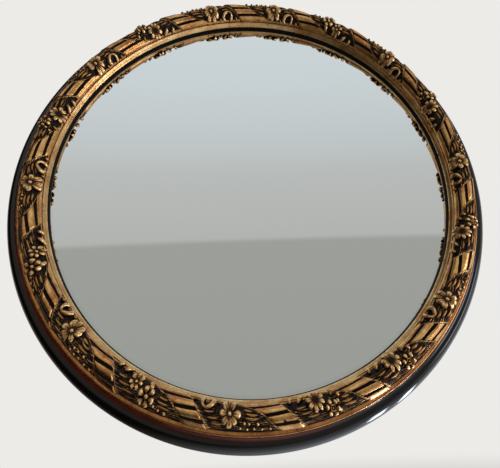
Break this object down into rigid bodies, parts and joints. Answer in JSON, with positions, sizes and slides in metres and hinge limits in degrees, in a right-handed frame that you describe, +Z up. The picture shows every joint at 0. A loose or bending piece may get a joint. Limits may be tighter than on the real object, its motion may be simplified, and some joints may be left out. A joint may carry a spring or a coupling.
{
  "type": "wall mirror",
  "caption": "Round wall mirror with an ebonised outer frame, a gilt ribbon-and-reed ring set with flowers, a narrow black slip and a nearly flat glass; hangs on two swinging D-rings.",
  "frame": {"origin": "on the mirror's axis, on the wall plane at the back", "axes": "+Z up as the mirror hangs, +Y from the mirror into the wall, the face looks towards -Y"},
  "size_m": [0.7, 0.075, 0.7],
  "materials": {
    "ebonised_wood": "black polished lacquer on turned wood",
    "antique_gilding": "antique gilding on turned wood, dark wash in the grooves",
    "gilt_composition": "gilded moulding composition on a near-black ground",
    "mirror_glass": "silvered glass",
    "softwood": "bare softwood",
    "board": "bare brown fibreboard",
    "screw_steel": "zinc plated",
    "hanger_steel": "brass plated"
  },
  "bodies": {
    "mirror": {"frame_body": "ebonised_wood", "sight_slip": "ebonised_wood", "outer_gilt_fillet": "antique_gilding", "reeded_torus": "antique_gilding", "sight_fillet": "antique_gilding", "mirror_glass": "mirror_glass", "glazing_blocks": "softwood", "backboard": "board", "backboard_screws": "screw_steel", "hanger_screws": "screw_steel", "hanger_plate_left": "hanger_steel", "hanger_plate_right": "hanger_steel", "ribbon_casting_01": "gilt_composition", "ribbon_casting_02": "gilt_composition", "ribbon_casting_03": "gilt_composition", "ribbon_casting_04": "gilt_composition", "ribbon_casting_05": "gilt_composition", "ribbon_casting_06": "gilt_composition", "ribbon_casting_07": "gilt_composition", "ribbon_casting_08": "gilt_composition", "ribbon_casting_09": "gilt_composition", "ribbon_casting_10": "gilt_composition", "ribbon_casting_11": "gilt_composition", "ribbon_casting_12": "gilt_composition", "ribbon_casting_13": "gilt_composition", "ribbon_casting_14": "gilt_composition", "ribbon_casting_15": "gilt_composition", "ribbon_casting_16": "gilt_composition", "ribbon_casting_17": "gilt_composition", "ribbon_casting_18": "gilt_composition"},
    "ring_left": {"hanger_ring_left": "hanger_steel"},
    "ring_right": {"hanger_ring_right": "hanger_steel"}
  },
  "joints": [
    {"name": "hanger_ring_left_hinge", "type": "hinge", "parent": "mirror", "child": "ring_left", "pos_m": [-0.3215, -0.0037, 0.06], "axis": [1, 0, 0], "range_deg": [0, 180]},
    {"name": "hanger_ring_right_hinge", "type": "hinge", "parent": "mirror", "child": "ring_right", "pos_m": [0.3215, -0.0037, 0.06], "axis": [1, 0, 0], "range_deg": [0, 180]}
  ]
}
